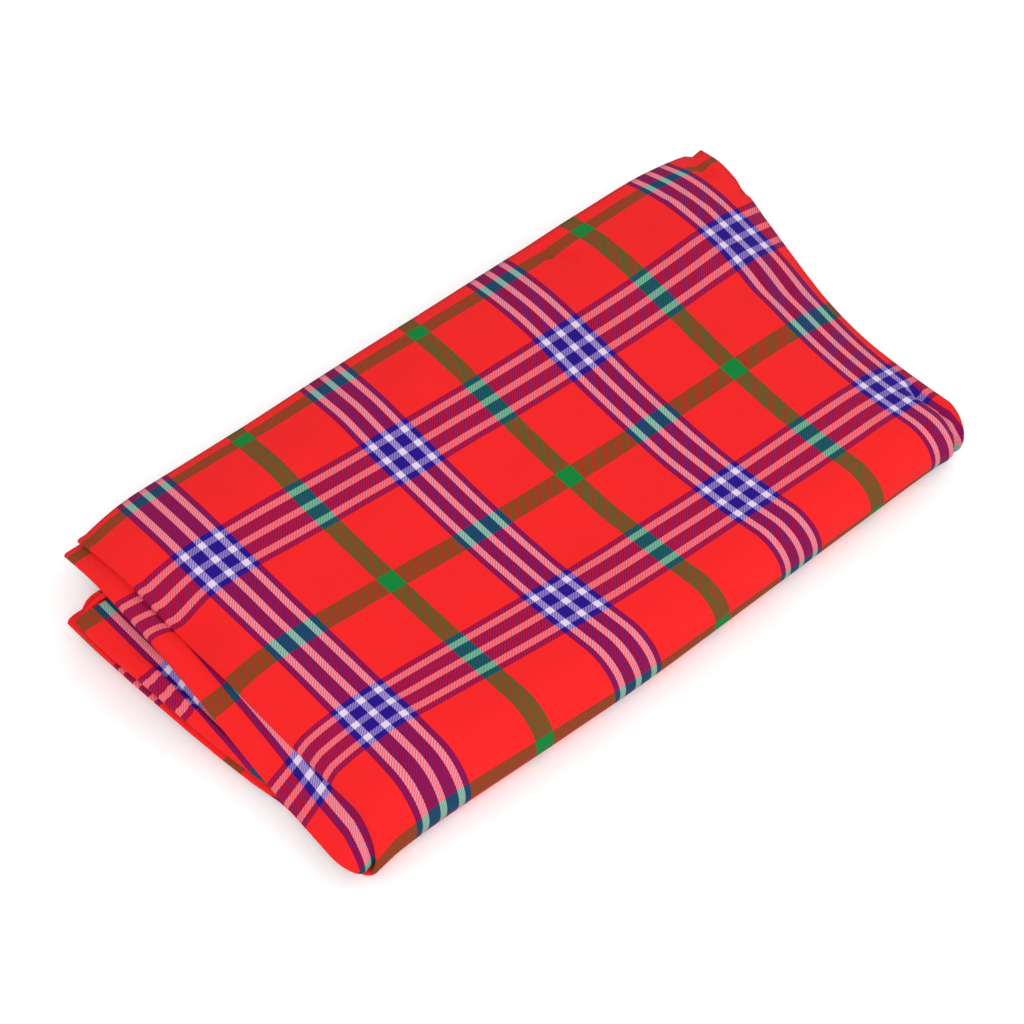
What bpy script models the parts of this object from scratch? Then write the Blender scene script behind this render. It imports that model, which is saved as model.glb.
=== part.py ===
"""A Maasai shuka blanket, folded for the shelf.

The blanket is one woven cloth of about 2.0 by 1.3 m and nothing else. It is pleated back and forth
in four along its length, and that band of four layers is then folded in five across its width. The
first pass lies on top, rolls over the front edge as one round fold and comes back along the floor, and
the other three passes lie between the two.

World axes: +X runs along the folded blanket to its right end, +Y from the rolled front edge to the
open back edge, and +Z up. The origin is at the middle of the underside.
"""

import math
from collections import namedtuple

import bpy
import numpy as np

# The cloth and the stack of its layers, in metres.
CLOTH_THICKNESS = 0.0010
LAYER_PITCH = 0.0025
PLEATS = 4
TOP_LEVEL = 19

# Where the cloth begins and ends, seen from the left end.
TOP_EDGE_Y_LEFT = 0.1625
TOP_EDGE_Y_RIGHT = 0.1850
TOP_EDGE_LEFT_X = -0.2500
TOP_EDGE_RIGHT_X = 0.2500
INNER_END_Y = -0.0930

# The left end, where the top bends down and the pleats stand a little open.
BEND_LENGTH = 0.0400
CREASE_INSET = 0.0040
OPEN_GAP = 0.0015

# The top pass droops behind the stack that carries it.
DROOP_START_Y = 0.1000
STACK_BACK_Y = 0.1180
DROOP_RATE_LEFT = 3.2
DROOP_RATE_MIDDLE = 2.3
DROOP_RATE_RIGHT = 1.4
DROOP_SIDE_X = 0.2000

# The front-left corner is drawn in, by this share of it at the floor.
DRAWN_IN = 0.0180
DRAWN_IN_FLOOR = 0.45
DRAWN_IN_HEIGHT = 0.0400
DRAWN_IN_START_X = -0.1500
DRAWN_IN_END_X = -0.2500
DRAWN_IN_START_Y = -0.0200
DRAWN_IN_LENGTH = 0.0800

# Past its left crease the stack drapes down towards the front, and the crease dips at one place.
DRAPE_RATE = 18.0
DRAPE_START_Y = 0.0600
DRAPE_END_Y = -0.0700
DIP_SHARE = 0.10
DIP_Y = 0.0620
DIP_LENGTH = 0.0140
DIP_WIDTH = 0.0300

# The right end sinks where fewer layers reach it, and is drawn in along its middle.
RIM_LENGTH = 0.0450
RIM_SINK = 0.12
FLAP_TUCK = 0.0080
WAIST_DEPTH = 0.0140
WAIST_LEAN = 1.3

# The middle of the underside, in the frame that the other places are given in.
ORIGIN_X = 0.0058
ORIGIN_Y = 0.0317

# Broad unevenness of the stack, as shares of its height, and where each part of it lies.
RIGHT_SINK = 0.075
RIGHT_SINK_START_X = 0.0200
RIGHT_SINK_LENGTH = 0.2400
LEFT_RISE = 0.020
LEFT_RISE_START_X = -0.0500
LEFT_RISE_LENGTH = 0.1600
MIDDLE_SAG = 0.045
MIDDLE_SAG_LENGTH = 0.4600
MIDDLE_SAG_WIDTH = 0.2600
RIGHT_HOLLOW = 0.060
RIGHT_HOLLOW_START_X = 0.1300
RIGHT_HOLLOW_LENGTH = 0.1000
RIGHT_HOLLOW_Y = -0.0100
RIGHT_HOLLOW_WIDTH = 0.0550

# Each pass in the order in which the cloth runs through it. level is that of the outermost pleat and
# step leads on to the next one. The reaches are the X of the pleats' turns, at the back and at the
# front of the pass: outer is the turn between pleats 1 and 2, inner the one between 3 and 4, fold the
# right turn between 2 and 3, and flap and tail are the cloth's own ends in pleats 1 and 4. lean is 1
# where the left turns run straight from back to front, and more where they keep to the back one longer.
Pass = namedtuple(
    "Pass",
    "name level step outer_back outer_front inner_back inner_front "
    "fold_back fold_front flap_back flap_front tail_back tail_front lean",
)
PASSES = (
    Pass("top", 19, -1, -0.2440, -0.2260, -0.2545, -0.2475,
         0.2500, 0.2100, 0.2890, 0.2315, 0.2400, 0.2060, 1.0),
    Pass("bottom", 0, 1, -0.2680, -0.2400, -0.2460, -0.2350,
         0.2640, 0.2250, 0.2600, 0.2290, 0.2540, 0.2190, 1.0),
    Pass("fourth", 7, -1, -0.2500, -0.2330, -0.2760, -0.2360,
         0.2660, 0.2210, 0.2620, 0.2200, 0.2560, 0.2160, 1.3),
    Pass("third", 8, 1, -0.2760, -0.2360, -0.2510, -0.2320,
         0.2600, 0.2180, 0.2560, 0.2150, 0.2520, 0.2130, 1.4),
    Pass("second", 15, -1, -0.2490, -0.2290, -0.2750, -0.2340,
         0.2580, 0.2140, 0.2540, 0.2100, 0.2480, 0.2080, 1.4),
)

# The four turns between the passes, and how round each is.
Fold = namedtuple("Fold", "name turn_y roundness")
FOLDS = (
    Fold("front_roll", -0.1000, 0.97),
    Fold("lower_back", 0.1280, 1.00),
    Fold("inner_front", -0.1000, 1.00),
    Fold("upper_back", 0.1130, 1.00),
)

# The ten pleat turns at the left end, from the floor up, and how far each stands open.
Turn = namedtuple("Turn", "name opening")
LEFT_TURNS = (
    Turn("bottom_outer", 0.0026),
    Turn("bottom_inner", 0.0021),
    Turn("fourth_inner", 0.0024),
    Turn("fourth_outer", 0.0021),
    Turn("third_outer", 0.0024),
    Turn("third_inner", 0.0021),
    Turn("second_inner", 0.0034),
    Turn("second_outer", 0.0021),
    Turn("top_inner", 0.0034),
    Turn("top_outer", 0.0034),
)

# How finely the sheet is divided. Every layer has points on the same lines, so that none cuts another:
# X from the top's left crease and from its right turn, and Y across the pile.
CREASE_OFFSETS = (0.0, 0.0100, 0.0210, 0.0330, 0.0460, 0.1200, 0.2400, 0.3600)
RIM_OFFSETS = (-0.0450, -0.0280, -0.0130)
RIGHT_END_SHARES = ((0.35, 0.68, 1.0), (0.5, 1.0), (0.5, 1.0), (0.5, 1.0))
TURN_STEPS = (5, 4, 4)
Y_LINES = (0.0950, 0.0400, -0.0300)
OVERHANG_SHARES = (1.0, 0.5, 0.0)
ROLL_STEPS = 8
FOLD_STEPS = 4

CLOTH_COLOUR = (0.80, 0.020, 0.022, 1.0)
CLOTH_ROUGHNESS = 0.86


def mix(a, b, share):
    return a + (b - a) * share


def smooth(share):
    """An even ramp from 0 to 1 with soft ends."""
    share = np.clip(share, 0.0, 1.0)
    return share * share * (3.0 - 2.0 * share)


def hump(share):
    """One wave's upper half, which is 1 in the middle and 0 from half a length on."""
    return math.cos(math.pi * np.clip(share, -0.5, 0.5))


def middle_height(level):
    """Height of a layer's middle where the stack lies flat."""
    return 0.5 * CLOTH_THICKNESS + level * LAYER_PITCH


def open_heights():
    """Height of each layer's middle at the left end, where its pleats stand open."""
    heights = []
    height = 0.5 * CLOTH_THICKNESS
    for turn in LEFT_TURNS:
        heights += [height, height + turn.opening]
        height += turn.opening + OPEN_GAP
    return heights


OPEN_HEIGHTS = open_heights()


def top_depth(y):
    """How far y lies from the top's back edge, 0, to its front turn, 1."""
    return np.clip((TOP_EDGE_Y_LEFT - y) / (TOP_EDGE_Y_LEFT - FOLDS[0].turn_y), 0.0, 1.0)


def crease_x(y):
    """X where the top's bend ends, just inside its left turn."""
    return mix(PASSES[0].outer_back, PASSES[0].outer_front, top_depth(y)) + CREASE_INSET


def rim_x(y):
    """X of the top's right turn."""
    return mix(PASSES[0].fold_back, PASSES[0].fold_front, top_depth(y)) - waist(top_depth(y))


def waist(depth):
    return WAIST_DEPTH * math.sin(math.pi * depth**WAIST_LEAN)


def layer_height(level, x, y):
    """Height of one layer, between its flat stretch and its open left end."""
    bent = np.clip((crease_x(y) + BEND_LENGTH - x) / BEND_LENGTH, 0.0, 1.0)
    return mix(middle_height(level), OPEN_HEIGHTS[level], bent * bent)


def pleat_height(row, pleat, x, y):
    """Height within one pass. A whole pleat number is a layer and a fraction is on a turn."""
    first = min(int(pleat), PLEATS - 2)
    levels = [row.level + row.step * (first + k) for k in (0, 1)]
    return mix(layer_height(levels[0], x, y), layer_height(levels[1], x, y), pleat - first)


def pleat_stops(pleat):
    """The places along one pleat from its left end: (line, offset or share)."""
    stops = [("left", 0.0)]
    stops += [("crease", offset) for offset in CREASE_OFFSETS]
    stops += [("rim", offset) for offset in RIM_OFFSETS]
    stops += [("right", share) for share in RIGHT_END_SHARES[pleat]]
    return stops


def walk_along():
    """The places along the pleats: (kind, number, stop), where a turn's stop is its share of the arc."""
    places = []
    for pleat in range(PLEATS):
        stops = pleat_stops(pleat)
        places += [("pleat", pleat, stop) for stop in (stops if pleat % 2 else stops[::-1])]
        if pleat < PLEATS - 1:
            steps = TURN_STEPS[pleat]
            places += [("turn", pleat, step / steps) for step in range(1, steps)]
    return places


def walk_across():
    """The places across the passes, from the top's back edge inwards: (kind, number, y or share)."""
    places = [("overhang", 0, share) for share in OVERHANG_SHARES]
    for number in range(len(PASSES)):
        back = [] if number == 0 else [back_y(number)]
        lines = back + list(Y_LINES) + [front_y(number)]
        places += [("pass", number, y) for y in (lines[::-1] if number % 2 else lines)]
        if number < len(PASSES) - 1:
            steps = ROLL_STEPS if number == 0 else FOLD_STEPS
            places += [("fold", number, step / steps) for step in range(1, steps)]
    return places


def back_y(number):
    """Y where a lower pass turns at the back."""
    return FOLDS[number if number % 2 else number - 1].turn_y


def front_y(number):
    """Y where a pass turns at the front, or where the cloth ends inside."""
    if number == len(PASSES) - 1:
        return INNER_END_Y
    return FOLDS[number - 1 if number % 2 else number].turn_y


def reaches(number, y):
    """X of the cloth's ends and turns in one pass: flap, outer, fold, inner and tail."""
    row = PASSES[number]
    back = TOP_EDGE_Y_LEFT if number == 0 else back_y(number)
    depth = np.clip((back - y) / (back - front_y(number)), 0.0, 1.0)
    flap = mix(row.flap_back, row.flap_front, depth) - waist(top_depth(y))
    outer = mix(row.outer_back, row.outer_front, depth**row.lean)
    fold = mix(row.fold_back, row.fold_front, depth) - waist(top_depth(y))
    inner = mix(row.inner_back, row.inner_front, depth**row.lean)
    tail = mix(row.tail_back, row.tail_front, depth) - waist(top_depth(y))
    return np.array((flap, outer, fold, inner, tail))


def flat_line_y(across):
    """Y of a place across the passes, before the top's back edge slants and the folds turn."""
    kind, number, at = across
    if kind == "overhang":
        return mix(STACK_BACK_Y, TOP_EDGE_Y_LEFT, at)
    return FOLDS[number].turn_y if kind == "fold" else at


def ends_at(across):
    """The five reaches at one place across the passes."""
    kind, number, share = across
    y = flat_line_y(across)
    if kind != "fold":
        return reaches(number, y)
    ends = mix(reaches(number, y), reaches(number + 1, y), smooth(share))
    if number == 0:
        ends[0] -= FLAP_TUCK * math.sin(math.pi * share)
    return ends


def stop_x(stop, y, left, right):
    """X of one stop along a pleat that runs from left to right."""
    line, offset = stop
    if line == "left":
        return left
    if line == "crease":
        return crease_x(y) + offset
    if line == "rim":
        return rim_x(y) + offset
    return mix(rim_x(y) + RIM_OFFSETS[-1], right, offset)


def along_x(ends, along, y, opening):
    """X on a pleat, or on the half round of a turn."""
    kind, number, at = along
    if kind == "pleat":
        left = ends[1] if number < 2 else ends[3]
        return stop_x(at, y, left, ends[(0, 2, 2, 4)[number]])
    side = 1.0 if number == 1 else -1.0
    return ends[number + 1] + side * 0.5 * opening * math.sin(math.pi * at)


def pleat_number(kind, number, share):
    """The pleat as one running number, which a turn takes from one layer to the next."""
    if kind == "pleat":
        return float(number)
    return number + 0.5 - 0.5 * math.cos(math.pi * share)


def stack_share(x, y):
    """The stack's height at one place as a share of its even height."""
    left = smooth((LEFT_RISE_START_X - x) / LEFT_RISE_LENGTH)
    right = smooth((x - RIGHT_SINK_START_X) / RIGHT_SINK_LENGTH)
    sag = hump(x / MIDDLE_SAG_LENGTH) * hump(y / MIDDLE_SAG_WIDTH)
    hollow = smooth((x - RIGHT_HOLLOW_START_X) / RIGHT_HOLLOW_LENGTH)
    hollow *= math.exp(-(((y - RIGHT_HOLLOW_Y) / RIGHT_HOLLOW_WIDTH) ** 2))
    share = 1.0 + LEFT_RISE * left - RIGHT_SINK * right - MIDDLE_SAG * sag - RIGHT_HOLLOW * hollow
    share -= drape_share(x, y)
    over_rim = max((x - rim_x(y) + RIM_LENGTH) / RIM_LENGTH, 0.0)
    carried = min(max(y - DROOP_START_Y, 0.0), STACK_BACK_Y - DROOP_START_Y)
    return share - RIM_SINK * over_rim**2 - droop_rate(x) * carried**2 / middle_height(TOP_LEVEL)


def droop_rate(x):
    side = DROOP_RATE_LEFT if x < 0.0 else DROOP_RATE_RIGHT
    return mix(DROOP_RATE_MIDDLE, side, smooth(abs(x) / DROOP_SIDE_X))


def drape_share(x, y):
    """What the drape past the left crease, and the dip in the crease, take from the stack's share."""
    front = smooth((DRAPE_START_Y - y) / (DRAPE_START_Y - DRAPE_END_Y))
    past = x - crease_x(y)
    dip = math.exp(-((past / DIP_LENGTH) ** 2) - ((y - DIP_Y) / DIP_WIDTH) ** 2)
    return DRAPE_RATE * front * max(-past, 0.0) + DIP_SHARE * dip


def settle(x, y, z, on_top):
    """A point of the even stack, moved to where it lies in the uneven one. The lowest layer stays flat."""
    floor = middle_height(0)
    z = floor + (z - floor) * stack_share(x, y)
    if on_top and y > STACK_BACK_Y:
        z -= droop_rate(x) * ((y - DROOP_START_Y) ** 2 - (STACK_BACK_Y - DROOP_START_Y) ** 2)
    corner = smooth((DRAWN_IN_START_X - x) / (DRAWN_IN_START_X - DRAWN_IN_END_X))
    raised = mix(DRAWN_IN_FLOOR, 1.0, np.clip(z / DRAWN_IN_HEIGHT, 0.0, 1.0))
    y += DRAWN_IN * raised * corner * smooth((DRAWN_IN_START_Y - y) / DRAWN_IN_LENGTH)
    return x - ORIGIN_X, y - ORIGIN_Y, z


def point(across, along):
    """The sheet's middle surface at one place across the passes and along the pleats."""
    kind, number, share = across
    ends = ends_at(across)
    pleat = pleat_number(*along)
    row = PASSES[number]
    flat_y = flat_line_y(across)
    opening = 0.0
    if along[0] == "turn":
        at = ends[along[1] + 1]
        heights = [pleat_height(row, along[1] + k, at, flat_y) for k in (0.0, 1.0)]
        opening = abs(heights[1] - heights[0])
    x = along_x(ends, along, flat_y, opening)
    height = pleat_height(row, pleat, x, flat_y)
    if kind == "overhang":
        right = (x - TOP_EDGE_LEFT_X) / (TOP_EDGE_RIGHT_X - TOP_EDGE_LEFT_X)
        edge = mix(TOP_EDGE_Y_LEFT, TOP_EDGE_Y_RIGHT, right)
        return settle(x, mix(STACK_BACK_Y, edge, share), height, True)
    if kind == "pass":
        return settle(x, flat_y, height, number == 0)
    below = PASSES[number + 1]
    beyond = pleat_height(below, pleat, x, flat_y)
    layers = abs(row.level + row.step * pleat - below.level - below.step * pleat)
    reach = 0.5 * layers * LAYER_PITCH * FOLDS[number].roundness
    outward = 1.0 if number % 2 else -1.0
    angle = math.pi * share
    y = flat_y + outward * reach * math.sin(angle)
    z = 0.5 * (height + beyond) + 0.5 * (height - beyond) * math.cos(angle)
    return settle(x, y, z, False)


def sheet_mesh(name):
    """The open middle surface as a grid of four-sided faces."""
    along, across = walk_along(), walk_across()
    points = [point(b, a) for b in across for a in along]
    wide = len(along)
    faces = [
        (row * wide + k, row * wide + k + 1, (row + 1) * wide + k + 1, (row + 1) * wide + k)
        for row in range(len(across) - 1)
        for k in range(wide - 1)
    ]
    mesh = bpy.data.meshes.new(name)
    mesh.from_pydata([tuple(map(float, p)) for p in points], [], faces)
    mesh.update()
    return mesh


def cloth_material():
    material = bpy.data.materials.new("shuka_red")
    material.use_nodes = True
    shader = material.node_tree.nodes["Principled BSDF"]
    shader.inputs["Base Color"].default_value = CLOTH_COLOUR
    shader.inputs["Roughness"].default_value = CLOTH_ROUGHNESS
    shader.inputs["Metallic"].default_value = 0.0
    return material


def build_cloth(collection):
    cloth = bpy.data.objects.new("shuka_cloth", sheet_mesh("shuka_cloth"))
    collection.objects.link(cloth)
    wall = cloth.modifiers.new("cloth thickness", "SOLIDIFY")
    wall.thickness = CLOTH_THICKNESS
    wall.offset = 0.0
    cloth.data.materials.append(cloth_material())
    cloth.data.shade_smooth()
    return cloth


def main():
    for obj in list(bpy.data.objects):
        bpy.data.objects.remove(obj, do_unlink=True)
    collection = bpy.data.collections.new("shuka_blanket")
    bpy.context.scene.collection.children.link(collection)
    build_cloth(collection)


main()
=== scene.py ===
"""Looks of a folded Maasai shuka blanket.

The blanket is one thin twill sheet in a bold check. It is pleated back and forth in four along its
length, and the band of four layers is folded in five across its width. The sheet here runs through the
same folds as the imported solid, on a much finer grid, and carries its check on a UV map in repeats of the
check, so that every stripe follows its own yarns round each fold.

Frame: +X runs along the folded blanket to its right end, +Y from the rolled front edge to the open back
edge, and +Z up. The places in the tables are in the maker's frame, before the middle of the underside
is moved to the origin.
"""

from __future__ import annotations

import logging
import math
from collections.abc import Iterable, Sequence
from dataclasses import dataclass, field
from enum import Enum

import bpy
import numpy as np
from mathutils import Matrix, Vector

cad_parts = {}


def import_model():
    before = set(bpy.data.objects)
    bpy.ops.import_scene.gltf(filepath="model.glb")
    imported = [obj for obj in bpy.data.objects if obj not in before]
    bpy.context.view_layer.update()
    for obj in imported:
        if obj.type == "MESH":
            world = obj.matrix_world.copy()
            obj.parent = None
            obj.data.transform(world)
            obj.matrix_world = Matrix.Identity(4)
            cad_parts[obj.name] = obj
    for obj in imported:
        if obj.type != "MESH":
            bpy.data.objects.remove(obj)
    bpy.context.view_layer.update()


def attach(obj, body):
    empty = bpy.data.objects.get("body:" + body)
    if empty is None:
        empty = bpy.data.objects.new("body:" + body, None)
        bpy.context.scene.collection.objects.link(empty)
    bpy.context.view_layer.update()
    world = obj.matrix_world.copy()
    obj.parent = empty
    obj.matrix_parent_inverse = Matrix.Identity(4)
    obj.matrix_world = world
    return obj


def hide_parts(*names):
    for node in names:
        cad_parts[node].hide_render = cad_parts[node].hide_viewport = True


Values = float | np.ndarray

LOG = logging.getLogger("shuka")
CLOTH_NODE = "shuka_cloth"


class RowKind(Enum):
    """Where a row of the sheet lies, across the passes."""

    OVERHANG = "overhang"
    PASS = "pass"
    FOLD = "fold"


class ColumnKind(Enum):
    """Where a column of the sheet lies, along the pleats."""

    PLEAT = "pleat"
    TURN = "turn"


@dataclass(frozen=True)
class Ramp:
    """A soft step from 0 at one place to 1 at another."""

    start: float
    end: float

    def at(self, place: Values) -> Values:
        """Return how much of the step is done at a place."""
        return smooth((place - self.start) / (self.end - self.start))


@dataclass(frozen=True)
class Hill:
    """A soft bump round one place."""

    middle: float
    width: float

    def at(self, place: Values) -> Values:
        """Return 1 in the middle, and next to nothing past two widths."""
        return mound(place - self.middle, self.width)


@dataclass(frozen=True)
class Pass:
    """One crossing of the folded band, back to front or front to back.

    The reaches are X of the pleats' turns and of the cloth's own ends, at the back and at the front.
    """

    name: str
    level: int
    step: int
    outer: tuple[float, float]
    inner: tuple[float, float]
    fold: tuple[float, float]
    flap: tuple[float, float]
    tail: tuple[float, float]
    lean: float


@dataclass(frozen=True)
class Fold:
    """One turn between two passes."""

    name: str
    turn_y: float
    roundness: float


@dataclass(frozen=True)
class Row:
    """One row of the sheet. at is Y on a pass, and a share on an overhang or a fold."""

    kind: RowKind
    number: int
    at: float


@dataclass(frozen=True)
class Column:
    """One column of the sheet. at counts the stops of a pleat, and is a share on a turn."""

    kind: ColumnKind
    number: int
    at: float


@dataclass(frozen=True)
class Crease:
    """One soft trough or ridge, laid between two places on the unrolled top.

    Its places are X and the distance across the top, which runs on round the front roll. A trough has
    a height below 0.
    """

    name: str
    start: tuple[float, float]
    end: tuple[float, float]
    width: float
    height: float

    def lift(self, x: np.ndarray, across: np.ndarray) -> np.ndarray:
        """Give how far each place is moved out of the surface.

        Args:
            x: The places along the top.
            across: The distances across it, unrolled.

        Returns:
            The move at each place, below 0 in a trough.
        """
        ax, ay = self.start
        bx, by = self.end
        length = (bx - ax) ** 2 + (by - ay) ** 2
        share = np.clip(((x - ax) * (bx - ax) + (across - ay) * (by - ay)) / length, 0.0, 1.0)
        off_x, off_y = x - mix(ax, bx, share), across - mix(ay, by, share)
        return self.height * mound(np.hypot(off_x, off_y), self.width)


@dataclass(frozen=True)
class Pull:
    """One smooth pull of the check out of square, in repeats along the pleats and across the passes.

    It grows with a power of the place along the top, x_power, and of the place across it, w_power.
    """

    x_power: int
    w_power: int
    along: float
    across: float


def mix(a: Values, b: Values, share: Values) -> Values:
    """Return the value that lies share of the way from a to b."""
    return a + (b - a) * share


def smooth(share: Values) -> Values:
    """Return an even ramp from 0 to 1 with soft ends."""
    share = np.clip(share, 0.0, 1.0)
    return share * share * (3.0 - 2.0 * share)


def mound(distance: Values, width: float) -> Values:
    """Return a soft bump, 1 at no distance and next to nothing past two widths."""
    return np.exp(-((distance / width) ** 2))


@dataclass
class Pile:
    """The folded band: where each of the twenty layers lies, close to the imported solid.

    Places and lengths are in metres. What sinks or raises the stack is a share of its height.
    """

    thickness: float = 0.0010
    pitch: float = 0.0025
    pleats: int = 4
    top_level: int = 19
    edge_left: float = 0.1625
    edge_right: float = 0.1850
    edge_half: float = 0.2500
    inner_end: float = -0.0930
    bend_length: float = 0.0400
    crease_inset: float = 0.0040
    open_gap: float = 0.0015
    droop_start: float = 0.1000
    stack_back: float = 0.1180
    droop_left: float = 3.2
    droop_middle: float = 2.3
    droop_right: float = 1.4
    droop_half: float = 0.2000
    drawn_in: float = 0.0125
    drawn_left: Ramp = Ramp(-0.0200, -0.2500)
    drawn_front: Ramp = Ramp(-0.0200, -0.1000)
    drawn_floor: float = 0.45
    drawn_height: float = 0.0400
    drape: float = 22.0
    drape_front: Ramp = Ramp(0.0600, -0.0600)
    dip: float = 0.15
    dip_length: float = 0.0140
    dip_across: Hill = Hill(0.0620, 0.0300)
    lump: float = 0.0050
    lump_along: Hill = Hill(-0.0120, 0.0120)
    lump_across: Hill = Hill(0.0620, 0.0220)
    lump_shown: Ramp = Ramp(-0.0030, -0.0090)
    lump_fade: float = 0.7
    lower_fade: float = 0.5
    rim_length: float = 0.0450
    rim_sink: float = 0.12
    corner_rise: float = 0.45
    corner_back: Ramp = Ramp(0.1000, 0.1700)
    flap_tuck: float = 0.0080
    waist_depth: float = 0.0140
    waist_lean: float = 1.3
    origin_x: float = 0.0058
    origin_y: float = 0.0317
    left_rise: float = 0.020
    left_side: Ramp = Ramp(-0.0500, -0.2100)
    right_sink: float = 0.075
    right_side: Ramp = Ramp(0.0200, 0.2600)
    middle_sag: float = 0.045
    sag_length: float = 0.4600
    sag_width: float = 0.2600
    right_hollow: float = 0.060
    hollow_right: Ramp = Ramp(0.1300, 0.2300)
    hollow_across: Hill = Hill(-0.0100, 0.0550)
    openings: tuple[float, ...] = (
        0.0026, 0.0021, 0.0024, 0.0021, 0.0024, 0.0021, 0.0034, 0.0021, 0.0034, 0.0034,
    )
    crease_stops: tuple[float, ...] = (0.0, 0.0100, 0.0210, 0.0330, 0.0460, 0.1200, 0.2400, 0.3600)
    rim_stops: tuple[float, ...] = (-0.0450, -0.0280, -0.0130)
    end_stops: tuple[float, ...] = (0.35, 0.68, 1.0)
    passes: tuple[Pass, ...] = (
        Pass("top", 19, -1, (-0.2440, -0.2260), (-0.2545, -0.2475),
             (0.2500, 0.2100), (0.2930, 0.2315), (0.2400, 0.2060), 1.0),
        Pass("bottom", 0, 1, (-0.2680, -0.2400), (-0.2460, -0.2350),
             (0.2640, 0.2250), (0.2600, 0.2290), (0.2540, 0.2190), 1.0),
        Pass("fourth", 7, -1, (-0.2500, -0.2330), (-0.2760, -0.2360),
             (0.2660, 0.2210), (0.2620, 0.2200), (0.2560, 0.2160), 1.3),
        Pass("third", 8, 1, (-0.2760, -0.2360), (-0.2510, -0.2320),
             (0.2600, 0.2180), (0.2560, 0.2150), (0.2520, 0.2130), 1.4),
        Pass("second", 15, -1, (-0.2490, -0.2290), (-0.2750, -0.2340),
             (0.2580, 0.2140), (0.2540, 0.2100), (0.2480, 0.2080), 1.4),
    )
    folds: tuple[Fold, ...] = (
        Fold("front roll", -0.1000, 0.97),
        Fold("lower back", 0.1280, 1.00),
        Fold("inner front", -0.1000, 1.00),
        Fold("upper back", 0.1130, 1.00),
    )
    creases: tuple[Crease, ...] = (
        Crease("tuck at the back edge", (0.1205, 0.1620), (0.1285, 0.1460), 0.0034, -0.0036),
        Crease("ridge behind the tuck", (0.1150, 0.1560), (0.1220, 0.1420), 0.0050, 0.0010),
        Crease("notch of the back right corner", (0.2840, 0.1900), (0.2680, 0.1560), 0.0045, -0.0046),
        Crease("curl of the right edge", (0.2930, 0.1360), (0.2740, 0.1300), 0.0040, -0.0030),
        Crease("pucker over the right band", (0.2200, 0.1440), (0.2400, 0.1180), 0.0060, 0.0012),
        Crease("hollow of the right band", (0.1960, 0.0520), (0.2260, 0.0300), 0.0110, -0.0018),
        Crease("swell beside the hollow", (0.2080, 0.0900), (0.2300, 0.0640), 0.0120, 0.0014),
        Crease("tuck of the front right corner", (0.2190, -0.0790), (0.2175, -0.1500), 0.0034, -0.0070),
        Crease("ridge beside the tuck", (0.2080, -0.0820), (0.2070, -0.1400), 0.0050, 0.0012),
        Crease("trough along the left bend", (-0.1900, 0.0300), (-0.2010, -0.0560), 0.0140, -0.0012),
        Crease("ridge of the front left corner", (-0.1780, -0.0700), (-0.2050, -0.1300), 0.0100, 0.0014),
        Crease("crease across the middle", (-0.0600, -0.0450), (0.0550, -0.0250), 0.0160, -0.0010),
        Crease("swell of the back left", (-0.1500, 0.1150), (-0.0700, 0.1260), 0.0150, 0.0012),
    )
    lower_creases: tuple[Crease, ...] = (
        Crease("outer ridge of the second pass", (-0.2605, 0.0500), (-0.2495, -0.0320), 0.0022, 0.0036),
        Crease("trough behind it", (-0.2565, 0.0500), (-0.2455, -0.0320), 0.0018, -0.0030),
        Crease("inner ridge of the second pass", (-0.2527, 0.0480), (-0.2420, -0.0320), 0.0022, 0.0030),
    )
    open_heights: np.ndarray = field(init=False)

    def __post_init__(self) -> None:
        """Work out how high each layer lies at the open left end."""
        heights, height = [], 0.5 * self.thickness
        for opening in self.openings:
            heights += [height, height + opening]
            height += opening + self.open_gap
        self.open_heights = np.array(heights)

    def top_depth(self, y: Values) -> Values:
        """Return how far y lies from the top's back edge, 0, to its front turn, 1."""
        return np.clip((self.edge_left - y) / (self.edge_left - self.folds[0].turn_y), 0.0, 1.0)

    def waist(self, depth: Values) -> Values:
        """Return how far the right end is drawn in along its middle."""
        return self.waist_depth * np.sin(math.pi * depth**self.waist_lean)

    def crease_x(self, y: Values) -> Values:
        """Return X where the top's bend ends, just inside its left turn."""
        return mix(*self.passes[0].outer, self.top_depth(y)) + self.crease_inset

    def rim_x(self, y: Values) -> Values:
        """Return X of the top's right turn."""
        depth = self.top_depth(y)
        return mix(*self.passes[0].fold, depth) - self.waist(depth)

    def back_y(self, number: int) -> float:
        """Return Y where a lower pass turns at the back."""
        return self.folds[number if number % 2 else number - 1].turn_y

    def front_y(self, number: int) -> float:
        """Give Y where a pass turns at the front, or where the cloth ends inside.

        Args:
            number: The pass, from the top one.

        Returns:
            Y of its front end.
        """
        if number == len(self.passes) - 1:
            return self.inner_end
        return self.folds[number - 1 if number % 2 else number].turn_y

    def reaches(self, number: int, y: float) -> np.ndarray:
        """Give X of the cloth's ends and turns in one pass.

        Args:
            number: The pass, from the top one.
            y: The place across the pass.

        Returns:
            X of the flap, the outer turn, the right fold, the inner turn and the tail.
        """
        row = self.passes[number]
        back = self.edge_left if number == 0 else self.back_y(number)
        depth = float(np.clip((back - y) / (back - self.front_y(number)), 0.0, 1.0))
        waist = self.waist(self.top_depth(y))
        left = depth**row.lean
        ends = [mix(*row.flap, depth) - waist, mix(*row.outer, left), mix(*row.fold, depth) - waist,
                mix(*row.inner, left), mix(*row.tail, depth) - waist]
        return np.array(ends)

    def flat_y(self, row: Row) -> float:
        """Give Y of a row before the top's back edge slants and the folds turn.

        Args:
            row: The row.

        Returns:
            Its place across the stack.
        """
        if row.kind is RowKind.OVERHANG:
            return mix(self.stack_back, self.edge_left, row.at)
        return self.folds[row.number].turn_y if row.kind is RowKind.FOLD else row.at

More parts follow.
